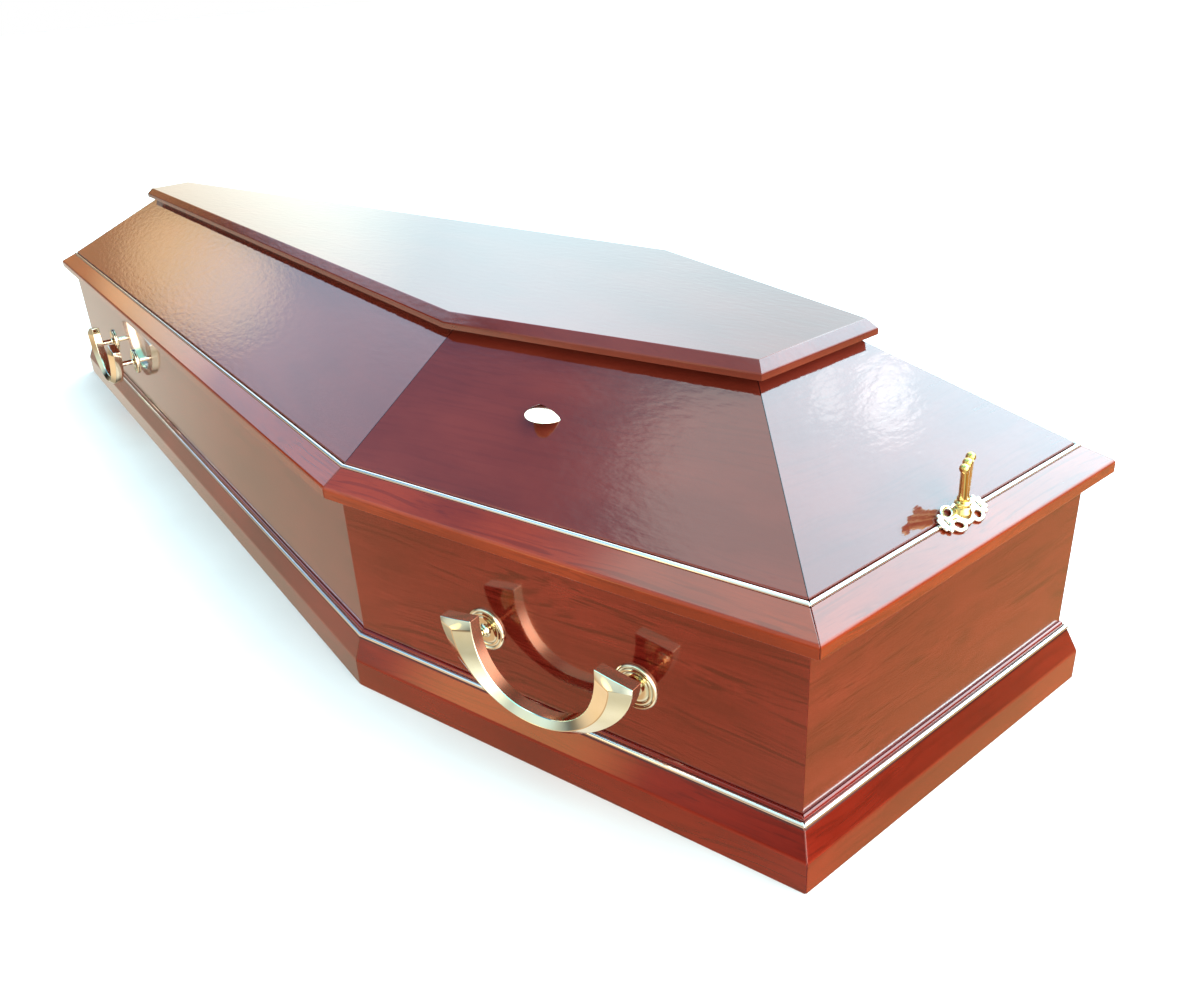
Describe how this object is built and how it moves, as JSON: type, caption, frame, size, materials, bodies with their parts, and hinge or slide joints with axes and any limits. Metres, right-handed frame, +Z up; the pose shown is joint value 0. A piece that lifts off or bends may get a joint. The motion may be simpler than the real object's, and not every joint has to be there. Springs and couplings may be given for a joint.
{
  "type": "wooden coffin",
  "caption": "Six-sided varnished wooden coffin with a hipped lift-off lid, moulded base and rim with bright beads, plated bail handles and lid thumbscrews.",
  "frame": {"origin": "on the ground under the middle of the coffin's bounding box", "axes": "+X along the length towards the head end, +Z up, -Y the long side that faces the viewer"},
  "size_m": [2, 0.7024, 0.3925],
  "materials": {
    "box_wood": "stained reddish brown, lengthwise grain, high-gloss varnish",
    "moulding_wood": "stained reddish brown, high-gloss varnish",
    "lid_wood": "stained dark reddish brown, mirror-like varnish with a faint ripple",
    "silver_bead": "bright silver plating",
    "gold_plate": "polished pale gold plating",
    "screw_plate": "polished white-gold plating"
  },
  "bodies": {
    "root": {"floor_board": "box_wood", "wall_head": "box_wood", "wall_shoulder_right": "box_wood", "wall_leg_right": "box_wood", "wall_foot": "box_wood", "wall_leg_left": "box_wood", "wall_shoulder_left": "box_wood", "base_moulding_head": "moulding_wood", "base_moulding_shoulder_right": "moulding_wood", "base_moulding_leg_right": "moulding_wood", "base_moulding_foot": "moulding_wood", "base_moulding_leg_left": "moulding_wood", "base_moulding_shoulder_left": "moulding_wood", "base_bead_head": "silver_bead", "base_bead_right": "silver_bead", "base_bead_foot": "silver_bead", "base_bead_left": "silver_bead", "lid_rim_head": "moulding_wood", "lid_rim_shoulder_right": "moulding_wood", "lid_rim_leg_right": "moulding_wood", "lid_rim_foot": "moulding_wood", "lid_rim_leg_left": "moulding_wood", "lid_rim_shoulder_left": "moulding_wood", "lid_bead_head": "silver_bead", "lid_bead_right": "silver_bead", "lid_bead_foot": "silver_bead", "lid_bead_left": "silver_bead", "lid_panel_head": "lid_wood", "lid_panel_shoulder_right": "lid_wood", "lid_panel_leg_right": "lid_wood", "lid_panel_foot": "lid_wood", "lid_panel_leg_left": "lid_wood", "lid_panel_shoulder_left": "lid_wood", "lid_top_board": "lid_wood", "handle_grip_shoulder_left": "gold_plate", "handle_post_shoulder_left_head": "gold_plate", "handle_post_shoulder_left_foot": "gold_plate", "handle_grip_shoulder_right": "gold_plate", "handle_post_shoulder_right_head": "gold_plate", "handle_post_shoulder_right_foot": "gold_plate", "handle_grip_leg_left": "gold_plate", "handle_post_leg_left_head": "gold_plate", "handle_post_leg_left_foot": "gold_plate", "handle_grip_leg_right": "gold_plate", "handle_post_leg_right_head": "gold_plate", "handle_post_leg_right_foot": "gold_plate", "lid_pull_left": "gold_plate", "lid_pull_right": "gold_plate", "screw_plate_head": "screw_plate", "thumbscrew_head": "gold_plate", "screw_plate_foot": "screw_plate", "thumbscrew_foot": "gold_plate"}
  },
  "joints": []
}
